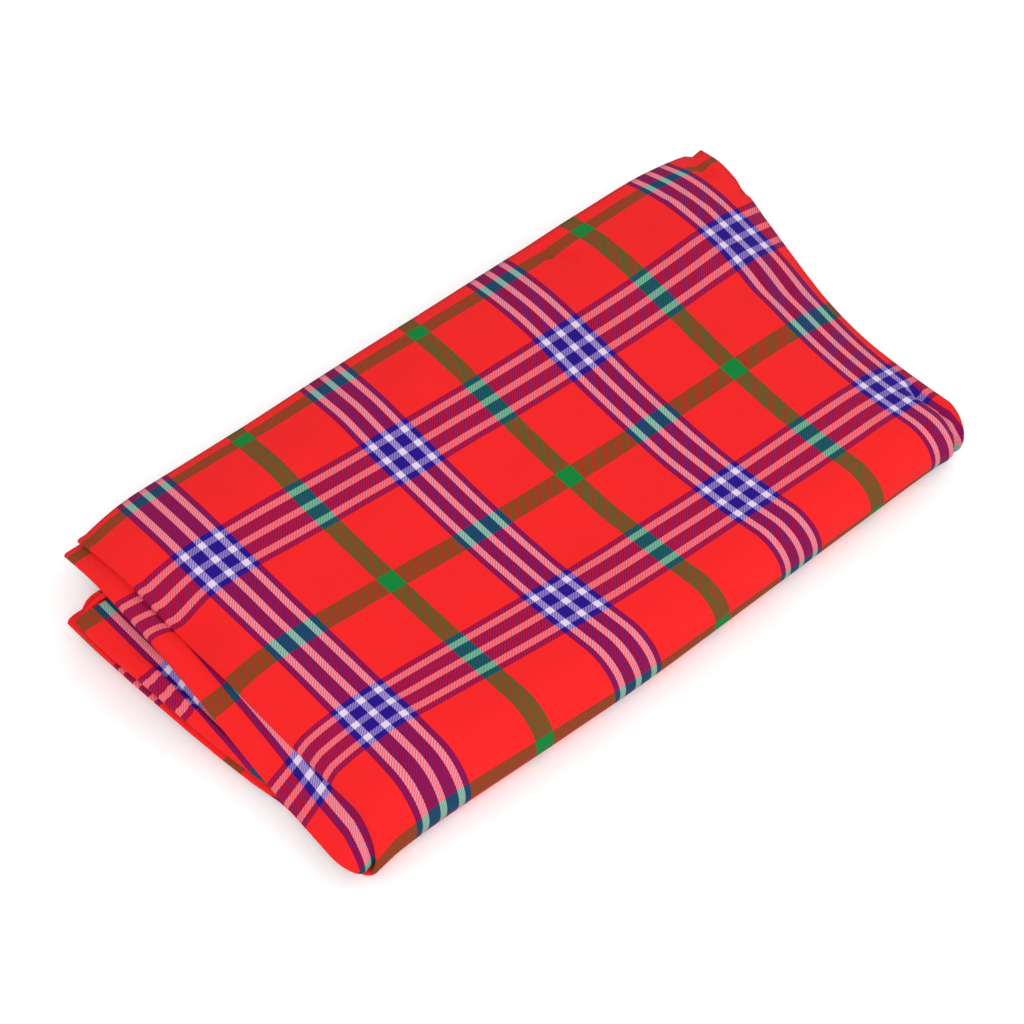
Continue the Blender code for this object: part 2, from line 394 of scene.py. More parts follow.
    def ends_at(self, row: Row) -> np.ndarray:
        """Give the five reaches at one row.

        Args:
            row: The row.

        Returns:
            X of the flap, the outer turn, the right fold, the inner turn and the tail.
        """
        y = self.flat_y(row)
        if row.kind is not RowKind.FOLD:
            return self.reaches(row.number, y)
        ends = mix(self.reaches(row.number, y), self.reaches(row.number + 1, y), float(smooth(row.at)))
        if row.number == 0:
            ends[0] -= self.flap_tuck * math.sin(math.pi * row.at)
        return ends

    def stops(self, y: float, left: float, right: float) -> np.ndarray:
        """Give X of the stops along one pleat.

        Args:
            y: The place across the pass.
            left: X of the pleat's left end.
            right: X of its right end.

        Returns:
            X from the left end to the right end.
        """
        crease, rim = self.crease_x(y), self.rim_x(y)
        last = rim + self.rim_stops[-1]
        stops = [left, *(crease + k for k in self.crease_stops), *(rim + k for k in self.rim_stops)]
        return np.array(stops + [mix(last, right, k) for k in self.end_stops])

    def even_height(self, level: np.ndarray, x: np.ndarray, y: float) -> np.ndarray:
        """Give the height of layers before the stack settles.

        Args:
            level: The layer's number from the floor, whole.
            x: Its place along the stack.
            y: Its place across the stack.

        Returns:
            The height of each layer's middle, between its flat stretch and its open left end.
        """
        flat = 0.5 * self.thickness + level * self.pitch
        bent = np.clip((self.crease_x(y) + self.bend_length - x) / self.bend_length, 0.0, 1.0)
        return flat + (self.open_heights[level] - flat) * bent**2

    def pleat_height(self, number: int, pleat: np.ndarray, x: np.ndarray, y: float) -> np.ndarray:
        """Give heights within one pass.

        Args:
            number: The pass.
            pleat: The pleat as a running number, a fraction on a turn.
            x: The place along the stack.
            y: The place across the stack.

        Returns:
            The height of the sheet's middle.
        """
        row = self.passes[number]
        first = np.minimum(pleat.astype(int), self.pleats - 2)
        levels = [row.level + row.step * (first + k) for k in (0, 1)]
        low, high = (self.even_height(level, x, y) for level in levels)
        return low + (high - low) * (pleat - first)

    def stack_share(self, x: np.ndarray, y: np.ndarray) -> np.ndarray:
        """Give the stack's height as a share of its even height.

        Args:
            x: The places along the stack.
            y: The places across it.

        Returns:
            The share at each place.
        """
        crease = self.crease_x(y)
        across = np.cos(math.pi * np.clip(y / self.sag_width, -0.5, 0.5))
        sag = np.cos(math.pi * np.clip(x / self.sag_length, -0.5, 0.5)) * across
        share = 1.0 + self.left_rise * self.left_side.at(x) - self.right_sink * self.right_side.at(x)
        share = share - self.middle_sag * sag
        share = share - self.right_hollow * self.hollow_right.at(x) * self.hollow_across.at(y)
        share = share - self.drape * self.drape_front.at(y) * np.maximum(crease - x, 0.0)
        share = share - self.dip * mound(x - crease, self.dip_length) * self.dip_across.at(y)
        over_rim = np.maximum((x - self.rim_x(y) + self.rim_length) / self.rim_length, 0.0)
        carried = np.clip(y - self.droop_start, 0.0, self.stack_back - self.droop_start)
        droop = self.droop_rate(x) * carried**2
        top = 0.5 * self.thickness + self.top_level * self.pitch
        sink = self.rim_sink * (1.0 - self.corner_rise * self.corner_back.at(y))
        return share - sink * over_rim**2 - droop / top

    def creased(self, x: np.ndarray, across: np.ndarray) -> np.ndarray:
        """Return how far the top's creases move each place out of the surface."""
        return sum(crease.lift(x, across) for crease in self.creases)

    def creased_below(self, x: np.ndarray, y: np.ndarray, pleats: np.ndarray) -> np.ndarray:
        """Return how far the ridges on the inner fold of the second pass lift each place."""
        inner = np.clip(pleats - 1.0, 0.0, 1.0) * (1.0 - self.lower_fade * np.clip(pleats - 2.0, 0.0, 1.0))
        return inner * sum(crease.lift(x, y) for crease in self.lower_creases)

    def lump_height(self, x: np.ndarray, y: np.ndarray, pleats: np.ndarray) -> np.ndarray:
        """Give the puff of the second fold, just beyond the top's left crease.

        Args:
            x: The places along the stack.
            y: The places across it.
            pleats: The running pleat number of each place.

        Returns:
            How far each place is lifted.
        """
        beyond = x - self.crease_x(y)
        lower = np.clip(pleats - 1.0, 0.0, 1.0) * (1.0 - self.lump_fade * np.clip(pleats - 2.0, 0.0, 1.0))
        puff = self.lump_shown.at(beyond) * self.lump_along.at(beyond) * self.lump_across.at(y)
        return self.lump * lower * puff

    def droop_rate(self, x: np.ndarray) -> np.ndarray:
        """Give how fast the top falls away behind the stack.

        Args:
            x: The places along the stack.

        Returns:
            The rate at each place, per metre squared.
        """
        left, right = smooth(-x / self.droop_half), smooth(x / self.droop_half)
        middle = self.droop_middle
        return middle + (self.droop_left - middle) * left + (self.droop_right - middle) * right

    def settle(self, x: np.ndarray, y: np.ndarray, z: np.ndarray, on_top: bool) -> np.ndarray:
        """Move points of the even stack to where they lie in the uneven one.

        Args:
            x: The places along the stack.
            y: The places across it.
            z: The heights in the even stack.
            on_top: Whether the points are on the pass that overhangs the back.

        Returns:
            One row of X, Y and Z for each point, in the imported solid's frame.
        """
        floor = 0.5 * self.thickness
        z = floor + (z - floor) * self.stack_share(x, y)
        if on_top:
            beyond = np.maximum(y - self.droop_start, self.stack_back - self.droop_start)
            z = z - self.droop_rate(x) * (beyond**2 - (self.stack_back - self.droop_start) ** 2)
        raised = mix(self.drawn_floor, 1.0, np.clip(z / self.drawn_height, 0.0, 1.0))
        y = y + self.drawn_in * raised * self.drawn_left.at(x) * self.drawn_front.at(y)
        return np.stack([x - self.origin_x, y - self.origin_y, z], axis=1)


@dataclass
class Weave:
    """Where the check's stripes fall: u counts repeats along the pleats, v across the passes."""

    repeat_along: float = 0.1350
    repeat_across: float = 0.1420
    along_at_middle: float = 1.5
    across_at_middle: float = 1.5
    under_top: float = -5.36
    under_second: float = -5.175
    second_green_y: float = 0.1100
    under_slip: float = 0.24
    under_slips: Ramp = Ramp(0.3, 0.6)
    under_bow: float = -0.004
    under_bows: Hill = Hill(-0.0280, 0.0320)
    second_skew: float = 0.6
    edge_tuck: float = 0.9
    edge_tuck_from: float = 1.09
    edge_tuck_least: float = 0.35
    edge_tuck_left: float = 0.65
    edge_tuck_right: float = 0.45
    tuck_left: Ramp = Ramp(-0.0500, -0.2000)
    tuck_right: Ramp = Ramp(0.1800, 0.2800)
    pull_length: float = 0.2500
    pull_across_to: float = 1.4
    pulls: tuple[Pull, ...] = (
        Pull(0, 0, 0.003, 0.005), Pull(1, 0, 0.042, -0.054), Pull(0, 1, 0.006, -0.036),
        Pull(2, 0, -0.119, 0.066), Pull(1, 1, 0.128, -0.054), Pull(0, 2, -0.056, 0.080),
        Pull(3, 0, -0.063, 0.033), Pull(2, 1, 0.056, -0.032), Pull(1, 2, -0.038, 0.038),
        Pull(0, 3, -0.025, -0.012), Pull(0, 4, -0.010, -0.026), Pull(1, 3, -0.059, 0.014),
        Pull(2, 2, 0.073, -0.055),
    )

    def bow(self, x: np.ndarray, w: np.ndarray) -> tuple[np.ndarray, np.ndarray]:
        """Args:
            x: The place along the top, in metres.
            w: The repeats across from the middle of the top.

        Returns:
            The pull along and across, in repeats, from the powers of both places.
        """
        x_share = x / self.pull_length
        w_held = np.clip(w, -self.pull_across_to, self.pull_across_to)
        powers = [x_share**pull.x_power * w_held**pull.w_power for pull in self.pulls]
        along = sum(pull.along * power for pull, power in zip(self.pulls, powers, strict=True))
        across = sum(pull.across * power for pull, power in zip(self.pulls, powers, strict=True))
        sides = self.edge_tuck_left * self.tuck_left.at(x) + self.edge_tuck_right * self.tuck_right.at(x)
        tuck = self.edge_tuck * (self.edge_tuck_least + sides)
        return along, across - tuck * np.maximum(-w - self.edge_tuck_from, 0.0)


@dataclass
class ShukaSheet:
    """The one sheet of cloth, as a fine grid through every fold."""

    pile: Pile
    weave: Weave
    name: str = "shuka_check_cloth"
    flat_size: tuple[float, float] = (2.0, 1.3)
    pleat_gaps: tuple[float, ...] = (0.0055, 0.0150, 0.0115, 0.0150)
    turn_steps: tuple[int, ...] = (12, 8, 10)
    rim_gap: float = 0.0032
    end_parts: tuple[int, ...] = (6, 4, 14, 4)
    least_parts: int = 2
    overhang_steps: int = 12
    pass_steps: tuple[int, ...] = (46, 8, 8, 9, 13)
    fold_steps: tuple[int, ...] = (28, 10, 8, 10)
    crease_fade: float = 0.35
    pull_rows: float = 60.0
    drift_share: float = 0.8

    def columns(self) -> list[Column]:
        """Lay out the columns.

        Returns:
            The columns in the order of the cloth, from the flap at the right to the tail.
        """
        ends = self.pile.reaches(0, 0.0)
        lengths = np.diff(self.pile.stops(0.0, ends[1], ends[2]))
        places: list[Column] = []
        for pleat, gap in enumerate(self.pleat_gaps):
            at = [0.0]
            for stop, length in enumerate(lengths):
                fine = pleat == 0 and stop >= len(self.pile.crease_stops)
                least = self.least_parts if stop else self.end_parts[pleat]
                parts = max(math.ceil(length / (self.rim_gap if fine else gap)), least)
                at += [stop + k / parts for k in range(1, parts + 1)]
            order = at if pleat % 2 else at[::-1]
            places += [Column(ColumnKind.PLEAT, pleat, k) for k in order]
            if pleat < self.pile.pleats - 1:
                turns = self.turn_steps[pleat]
                places += [Column(ColumnKind.TURN, pleat, k / turns) for k in range(1, turns)]
        return places

    def rows(self) -> list[Row]:
        """Lay out the rows.

        Returns:
            The rows in the order of the cloth, from the top's back edge to the inner end.
        """
        pile = self.pile
        shares = np.linspace(1.0, 0.0, self.overhang_steps, endpoint=False)
        places = [Row(RowKind.OVERHANG, 0, float(share)) for share in shares]
        for number in range(len(pile.passes)):
            back = pile.stack_back if number == 0 else pile.back_y(number)
            lines = np.linspace(back, pile.front_y(number), self.pass_steps[number] + 1)
            order = lines[::-1] if number % 2 else lines
            places += [Row(RowKind.PASS, number, float(y)) for y in order]
            if number < len(pile.folds):
                steps = self.fold_steps[number]
                places += [Row(RowKind.FOLD, number, k / steps) for k in range(1, steps)]
        return places

    def line_of(self, row: Row, columns: Sequence[Column]) -> tuple[np.ndarray, np.ndarray]:
        """Place one row of the sheet.

        Args:
            row: The row.
            columns: Every column.
        """
        pile = self.pile
        flat_y = pile.flat_y(row)
        pleats = np.array([self.running(column) for column in columns])
        x = self.spread(row, columns)
        height = pile.pleat_height(row.number, pleats, x, flat_y)
        y = np.full(len(columns), flat_y)
        if row.kind is RowKind.OVERHANG:
            edge = mix(pile.edge_left, pile.edge_right, (x + pile.edge_half) / (2.0 * pile.edge_half))
            y = mix(pile.stack_back, edge, row.at)
        elif row.kind is RowKind.FOLD:
            y, height = self.round_fold(row, pleats, x, height)
        on_top = row.number == 0 and row.kind is not RowKind.FOLD
        if on_top:
            height = height + pile.lump_height(x, y, pleats)
        settled = pile.settle(x, y, height, on_top)
        if row.number == 0:
            angle = math.pi * row.at if row.kind is RowKind.FOLD else 0.0
            rolled = 0.5 * pile.top_level * pile.pitch * angle
            shown = np.clip(1.0 - self.crease_fade * pleats, 0.0, 1.0)
            moved = pile.creased(x, y if on_top else flat_y - rolled) * shown
            settled[:, 1] -= moved * math.sin(angle)
            settled[:, 2] += moved * math.cos(angle)
        elif row.number == len(pile.passes) - 1:
            settled[:, 2] += pile.creased_below(x, y, pleats)
        return settled, np.stack([x, y], axis=1)

    def spread(self, row: Row, columns: Sequence[Column]) -> np.ndarray:
        """Place one row's columns along the stack.

        Args:
            row: The row.
            columns: Every column.

        Returns:
            X of each column.
        """
        pile = self.pile
        ends, flat_y = pile.ends_at(row), pile.flat_y(row)
        x = np.empty(len(columns))
        for pleat in range(pile.pleats):
            left = ends[1] if pleat < 2 else ends[3]
            stops = pile.stops(flat_y, left, ends[(0, 2, 2, 4)[pleat]])
            mine, at = self.members(columns, ColumnKind.PLEAT, pleat)
            x[mine] = np.interp(at, np.arange(len(stops)), stops)
        for turn in range(pile.pleats - 1):
            mine, at = self.members(columns, ColumnKind.TURN, turn)
            spot = np.full(2, ends[turn + 1])
            low, high = pile.pleat_height(row.number, np.array([turn, turn + 1.0]), spot, flat_y)
            side = 1.0 if turn == 1 else -1.0
            x[mine] = ends[turn + 1] + side * 0.5 * abs(high - low) * np.sin(math.pi * at)
        return x

    @staticmethod
    def members(columns: Sequence[Column], kind: ColumnKind, number: int) -> tuple[list[int], np.ndarray]:
        """Return the indices of one pleat's or turn's columns, and their places on it."""
        mine = [k for k, column in enumerate(columns) if (column.kind, column.number) == (kind, number)]
        return mine, np.array([columns[k].at for k in mine])

    def round_fold(
        self, row: Row, pleats: np.ndarray, x: np.ndarray, height: np.ndarray
    ) -> tuple[np.ndarray, np.ndarray]:
        """Carry one row round a fold.

        Args:
            row: The row, with its share of the half turn.
            pleats: The running pleat number of each column.
            x: The place of each column along the stack.
            height: The height of each column where the fold begins.

        Returns:
            Y and the height of each column at this share of the turn.
        """
        pile, flat_y = self.pile, self.pile.flat_y(row)
        above, below = pile.passes[row.number], pile.passes[row.number + 1]
        beyond = pile.pleat_height(row.number + 1, pleats, x, flat_y)
        layers = np.abs(above.level + above.step * pleats - below.level - below.step * pleats)
        reach = 0.5 * layers * pile.pitch * pile.folds[row.number].roundness
        outward = 1.0 if row.number % 2 else -1.0
        angle = math.pi * row.at
        y = flat_y + outward * reach * math.sin(angle)
        return y, 0.5 * (height + beyond) + 0.5 * (height - beyond) * math.cos(angle)

    @staticmethod
    def running(column: Column) -> float:
        """Count the pleats up to one column, where a turn leads from one layer to the next.

        Args:
            column: The column.

        Returns:
            The pleat as a running number.
        """
        if column.kind is ColumnKind.PLEAT:
            return float(column.number)
        return column.number + 0.5 - 0.5 * math.cos(math.pi * column.at)

    def repeats_across(self, rows: Sequence[Row]) -> np.ndarray:
        """Count the check's repeats across the passes, row by row.

        Args:
            rows: Every row.

        Returns:
            v of each row, where the top's own bow isn't in it yet.
        """
        pile, weave = self.pile, self.weave
        v = np.empty(len(rows))
        at = weave.across_at_middle - pile.edge_left / weave.repeat_across
        last_y = pile.edge_left
        for k, row in enumerate(rows):
            if row.kind is RowKind.FOLD:
                v[k] = at + row.at * self.fold_length(row.number)
                continue
            if k and rows[k - 1].kind is RowKind.FOLD:
                at += self.fold_length(row.number - 1)
            y = pile.flat_y(row)
            at += abs(y - last_y) / weave.repeat_across
            v[k], last_y = at, y
        return v + self.slip_across(rows, v)

    def fold_length(self, number: int) -> float:
        """Give the length of a fold's outermost layer.

        Args:
            number: The fold, from the front roll.

        Returns:
            The length in repeats.
        """
        above, below = self.pile.passes[number], self.pile.passes[number + 1]
        reach = 0.5 * abs(above.level - below.level) * self.pile.pitch
        return math.pi * reach / self.weave.repeat_across

    def slip_across(self, rows: Sequence[Row], v: np.ndarray) -> np.ndarray:
        """Spread a slip over the hidden passes, so that a green stripe falls at its place on the second.

        Args:
            rows: Every row.
            v: The repeats without a slip.

        Returns:
            What is added to each row.
        """
        second = len(self.pile.passes) - 1
        last = [k for k, row in enumerate(rows) if row.kind is RowKind.PASS and row.number == second]
        hidden = next(k for k, row in enumerate(rows) if row.number > 0)
        ys = np.array([rows[k].at for k in last])
        here = np.interp(self.weave.second_green_y, ys[::-1], v[last][::-1])
        share = np.clip((np.arange(len(rows)) - hidden) / (last[0] - hidden), 0.0, 1.0)
        return (round(here - 0.5) + 0.5 - here) * share

    def repeats_along(
        self, row: Row, columns: Sequence[Column], x: np.ndarray, drift: float
    ) -> np.ndarray:
        """Count the check's repeats along the pleats of one row.

        Args:
            row: The row.
            columns: Every column.
            x: The place of each column along the stack.
            drift: How far the row lies from the top pass, 0, to the second pass, 1.

        Returns:
            u of each column, where the top's own bow isn't in it yet.
        """
        weave = self.weave
        scale = weave.repeat_along
        ends = self.pile.ends_at(row)
        under = mix(weave.under_top, weave.under_second, drift)
        if row.number == 0:
            under += weave.under_bow * float(weave.under_bows.at(self.pile.flat_y(row)))
        if row.number == len(self.pile.passes) - 1:
            under -= weave.second_skew * max(weave.second_green_y - self.pile.flat_y(row), 0.0)
        middle = weave.along_at_middle + weave.under_slip * float(weave.under_slips.at(drift))
        outer = ends[1] / scale + middle
        fold, inner = ends[2] / scale + under, ends[3] / scale + under
        arc = 0.5 * math.pi * self.pile.pitch / scale
        u = np.empty(len(columns))
        for k, column in enumerate(columns):
            number, at = column.number, column.at
            if column.kind is ColumnKind.TURN:
                start = (outer, fold, inner)[number] + (0.5 * arc if number == 1 else 0.0)
                u[k] = start - arc * at
            elif number == 0:
                u[k] = x[k] / scale + middle
            elif number == 1:
                share = (x[k] - ends[1]) / (ends[2] - ends[1])
                u[k] = mix(outer - arc, fold + 0.5 * arc, share)
            elif number == 2:
                u[k] = x[k] / scale + under
            else:
                u[k] = inner - arc - (x[k] - ends[3]) / scale
        return u

    def mesh(self) -> bpy.types.Mesh:
        """Make the sheet's middle surface, with its check on a UV map.

        Returns:
            The open mesh, in metres.
        """
        columns, rows = self.columns(), self.rows()
        lines = [self.line_of(row, columns) for row in rows]
        points = np.concatenate([line[0] for line in lines])
        across = self.repeats_across(rows)
        turned = next(k for k, row in enumerate(rows) if row.kind is RowKind.FOLD)
        steps = self.drift_share * (len(rows) - turned)
        first = np.array([c.kind is ColumnKind.PLEAT and c.number == 0 for c in columns], float)
        u_rows, v_rows = [], []
        for k, (row, (_, flat)) in enumerate(zip(rows, lines, strict=True)):
            drift = min(max(k - turned, 0) / steps, 1.0)
            u = self.repeats_along(row, columns, flat[:, 0], drift)
            if row.kind is RowKind.OVERHANG:
                v = self.weave.across_at_middle - flat[:, 1] / self.weave.repeat_across
            else:
                v = np.full(len(columns), across[k])
            held = float(smooth(1.0 - max(k - turned, 0) / self.pull_rows))
            bow_u, bow_v = self.weave.bow(flat[:, 0], v - self.weave.across_at_middle)
            u_rows.append(u + bow_u * held * first)
            v_rows.append(v + bow_v * held)
        return self.grid(points, np.concatenate(u_rows), np.concatenate(v_rows), len(rows), len(columns))

    def grid(
        self, points: np.ndarray, u: np.ndarray, v: np.ndarray, tall: int, wide: int
    ) -> bpy.types.Mesh:
        """Join the points in four-sided faces.

        Args:
            points: X, Y and Z of every point, row by row.
            u: Repeats along the pleats.
            v: Repeats across the passes.
            tall: The count of rows.
            wide: The count of columns.

        Returns:
            The mesh with its UV map.
        """
        corner = (np.arange(tall - 1)[:, None] * wide + np.arange(wide - 1)[None, :]).ravel()
        faces = np.stack([corner, corner + 1, corner + wide + 1, corner + wide], axis=1)
        mesh = bpy.data.meshes.new(self.name)
        mesh.from_pydata(points.tolist(), [], faces.tolist())
        mesh.update()
        repeats = mesh.uv_layers.new(name="check_repeats")
        order = faces.ravel()
        repeats.data.foreach_set("uv", np.stack([u[order], v[order]], axis=1).ravel())
        return mesh

    def build(self, finish: TwillCheck) -> bpy.types.Object:
        """Make the sheet, give it its thickness and dress it.

        Args:
            finish: The check it is woven in.

        Returns:
            The finished cloth.
        """
        woven = finish.material()
        mesh = Slack().settle(self.mesh(), woven)
        mesh.name = self.name
        cloth = bpy.data.objects.new(self.name, mesh)
        bpy.context.scene.collection.objects.link(cloth)
        wall = cloth.modifiers.new("cloth thickness", "SOLIDIFY")
        wall.thickness = self.pile.thickness
        wall.offset = 0.0
        cloth.data.shade_smooth()
        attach(cloth, "root")
        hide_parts(CLOTH_NODE)
        return cloth


class Wire:
    """A shader value that takes part in Python arithmetic, where each step adds a Math node."""

    def __init__(self, graph: Graph, socket: bpy.types.NodeSocket) -> None:
        """Hold the socket and the graph that it belongs to."""
        self.graph = graph
        self.socket = socket

    def __add__(self, other: Wire | float) -> Wire:
        """Return the sum."""
        return self.graph.maths("ADD", self, other)

    def __sub__(self, other: Wire | float) -> Wire:
        """Return the difference."""
        return self.graph.maths("SUBTRACT", self, other)

    def __mul__(self, other: Wire | float) -> Wire:
        """Return the product."""
        return self.graph.maths("MULTIPLY", self, other)

    def __truediv__(self, other: Wire | float) -> Wire:
        """Return the quotient."""
        return self.graph.maths("DIVIDE", self, other)

    def __mod__(self, other: float) -> Wire:
        """Return what is left of a division, from 0 up."""
        return self.graph.maths("FLOORED_MODULO", self, other)

    def __abs__(self) -> Wire:
        """Return the size without its sign."""
        return self.graph.maths("ABSOLUTE", self)

    def __lt__(self, other: float) -> Wire:
        """Return 1 where this is less, and 0 elsewhere."""
        return self.graph.maths("LESS_THAN", self, other)

    def floor(self) -> Wire:
        """Return the whole number below."""
        return self.graph.maths("FLOOR", self)

    def sine(self) -> Wire:
        """Return the sine of this angle."""
        return self.graph.maths("SINE", self)


class Graph:
    """The nodes of one tree."""

    def __init__(self, tree: bpy.types.NodeTree) -> None:
        """Hold the tree."""
        self.tree = tree

    def node(
        self,
        kind: str,
        settings: dict[str, object] | None = None,
        inputs: dict[int | str, object] | None = None,
        stops: Iterable[tuple[float, tuple[float, ...]]] = (),
    ) -> bpy.types.Node:
        """Add one node.

        Args:
            kind: The node's type.
            settings: Its settings, which are made first.
            inputs: Values or wires for its sockets, by index or name.
            stops: The places and colours of a colour ramp.

        Returns:
            The node.
        """
        made = self.tree.nodes.new(kind)
        for key, value in (settings or {}).items():
            setattr(made, key, value)
        stops = list(stops)
        if stops:
            made.color_ramp.interpolation = "CONSTANT"
            elements = made.color_ramp.elements
            while len(elements) < len(stops):
                elements.new(1.0)
            for element, (place, colour) in zip(elements, stops, strict=True):
                element.position = place
                element.color = colour
        for key, value in (inputs or {}).items():
            self.feed(made.inputs[key], value)
        return made

    def feed(self, socket: bpy.types.NodeSocket, value: object) -> None:
        """Link a wire or a socket to a socket, or set its value.

        Args:
            socket: The socket that takes it.
            value: A wire, a socket or a plain value.
        """
        source = value.socket if isinstance(value, Wire) else value
        if isinstance(source, bpy.types.NodeSocket):
            self.tree.links.new(source, socket)
        else:
            socket.default_value = source

    def wire(self, node: bpy.types.Node, output: int | str = 0) -> Wire:
        """Return one output of a node as a wire."""
        return Wire(self, node.outputs[output])

    def maths(self, operation: str, *values: Wire | float) -> Wire:
        """Return the result of one Math node."""
        return self.wire(self.node("ShaderNodeMath", {"operation": operation}, dict(enumerate(values))))

    def blend(self, share: Wire | float, first: object, second: object) -> Wire:
        """Return a colour that lies share of the way from the first to the second."""
        made = self.node("ShaderNodeMix", {"data_type": "RGBA"}, {0: share, 6: first, 7: second})
        return self.wire(made, 2)

    def scaled(self, colour: Wire, factor: Wire) -> Wire:
        """Return a colour made lighter or darker."""
        made = self.node("ShaderNodeVectorMath", {"operation": "SCALE"}, {0: colour, 3: factor})
        return self.wire(made)


class Paint(Graph):
    """The nodes of one material."""

    def __init__(self, name: str) -> None:
        """Start a material with its one shader.

        Args:
            name: The material's name.
        """
        self.material = bpy.data.materials.new(name)
        self.material.use_nodes = True
        super().__init__(self.material.node_tree)
        self.shader = self.tree.nodes["Principled BSDF"]


@dataclass(frozen=True)
class Slack:
    """The soft swells that folding leaves in the cloth, the same in layers that lie on each other.

    A tree of Geometry Nodes lifts each point by a slow noise of its place, in proportion to its height,
    so that the underside stays flat and no layer meets the next.
    """

    name: str = "shuka slack"
    swell: float = 0.0042
    length: float = 0.0800
    height: float = 0.0480
    seed: float = 4.0
    detail: float = 1.5

    def sizes(self) -> dict[str, float]:
        """Return the tree's inputs by name."""
        return {"Swell": self.swell, "Length": self.length, "Height": self.height, "Seed": self.seed}

    def tree(self, finish: bpy.types.Material) -> bpy.types.NodeTree:
        """Build the tree.

        Args:
            finish: The material that its result is dressed in.

        Returns:
            The tree, with its sizes as named inputs.
        """
        tree = bpy.data.node_groups.new(self.name, "GeometryNodeTree")
        tree.interface.new_socket("Cloth", in_out="INPUT", socket_type="NodeSocketGeometry")
        for label, value in self.sizes().items():
            socket = tree.interface.new_socket(label, in_out="INPUT", socket_type="NodeSocketFloat")
            socket.default_value = value
        tree.interface.new_socket("Finish", in_out="INPUT", socket_type="NodeSocketMaterial")
        tree.interface.new_socket("Cloth", in_out="OUTPUT", socket_type="NodeSocketGeometry")
        graph = Graph(tree)
        given = graph.node("NodeGroupInput")
        swell, length, height = (graph.wire(given, label) for label in ("Swell", "Length", "Height"))
        place = graph.node("GeometryNodeInputPosition")
        split = graph.node("ShaderNodeSeparateXYZ", inputs={0: place.outputs[0]})
        plan = graph.node(
            "ShaderNodeCombineXYZ",
            inputs={0: graph.wire(split, 0) / length, 1: graph.wire(split, 1) / length},
        )
        noise = graph.node(
            "ShaderNodeTexNoise",
            {"noise_dimensions": "4D"},
            {"Vector": plan.outputs[0], "W": given.outputs["Seed"], "Scale": 1.0, "Detail": self.detail},
        )
        lift = (graph.wire(noise, 0) - 0.5) * swell * (graph.wire(split, 2) / height)
        offset = graph.node("ShaderNodeCombineXYZ", inputs={2: lift})
        moved = graph.node(
            "GeometryNodeSetPosition",
            inputs={"Geometry": given.outputs["Cloth"], "Offset": offset.outputs[0]},
        )
        plain = graph.node("GeometryNodeRealizeInstances", inputs={0: moved.outputs[0]})
        dressed = graph.node(
            "GeometryNodeSetMaterial",
            inputs={"Geometry": plain.outputs[0], "Material": given.outputs["Finish"]},
        )
        graph.node("NodeGroupOutput", inputs={0: dressed.outputs[0]})
        return tree

    def settle(self, mesh: bpy.types.Mesh, finish: bpy.types.Material) -> bpy.types.Mesh:
        """Run the tree on a sheet.

        Args:
            mesh: The sheet's middle surface.
            finish: The material that it is dressed in.

        Returns:
            The plain mesh that comes out.
        """
        holder = bpy.data.objects.new(self.name, mesh)
        bpy.context.scene.collection.objects.link(holder)
        nodes = holder.modifiers.new(self.name, "NODES")
        tree = self.tree(finish)
        nodes.node_group = tree
        values = {**self.sizes(), "Finish": finish}
        for item in tree.interface.items_tree:
            if item.in_out == "INPUT" and item.name in values:
                nodes[item.identifier] = values[item.name]
        graph = bpy.context.evaluated_depsgraph_get()
        done = bpy.data.meshes.new_from_object(holder.evaluated_get(graph), depsgraph=graph)
        holder.modifiers.remove(nodes)
        bpy.data.objects.remove(holder)
        return done


class Yarn(Enum):
    """The four dyed yarns of the check, as red, green and blue on the screen."""

    RED = (0.952, 0.032, 0.036)
    BLUE = (0.155, 0.060, 0.510)
    WHITE = (0.875, 0.815, 0.905)
    GREEN = (0.030, 0.500, 0.225)


@dataclass(frozen=True)
class Band:
    """One stripe of the check, by how far it reaches from the blue band's middle, in repeats."""

    reach: float
    yarn: Yarn


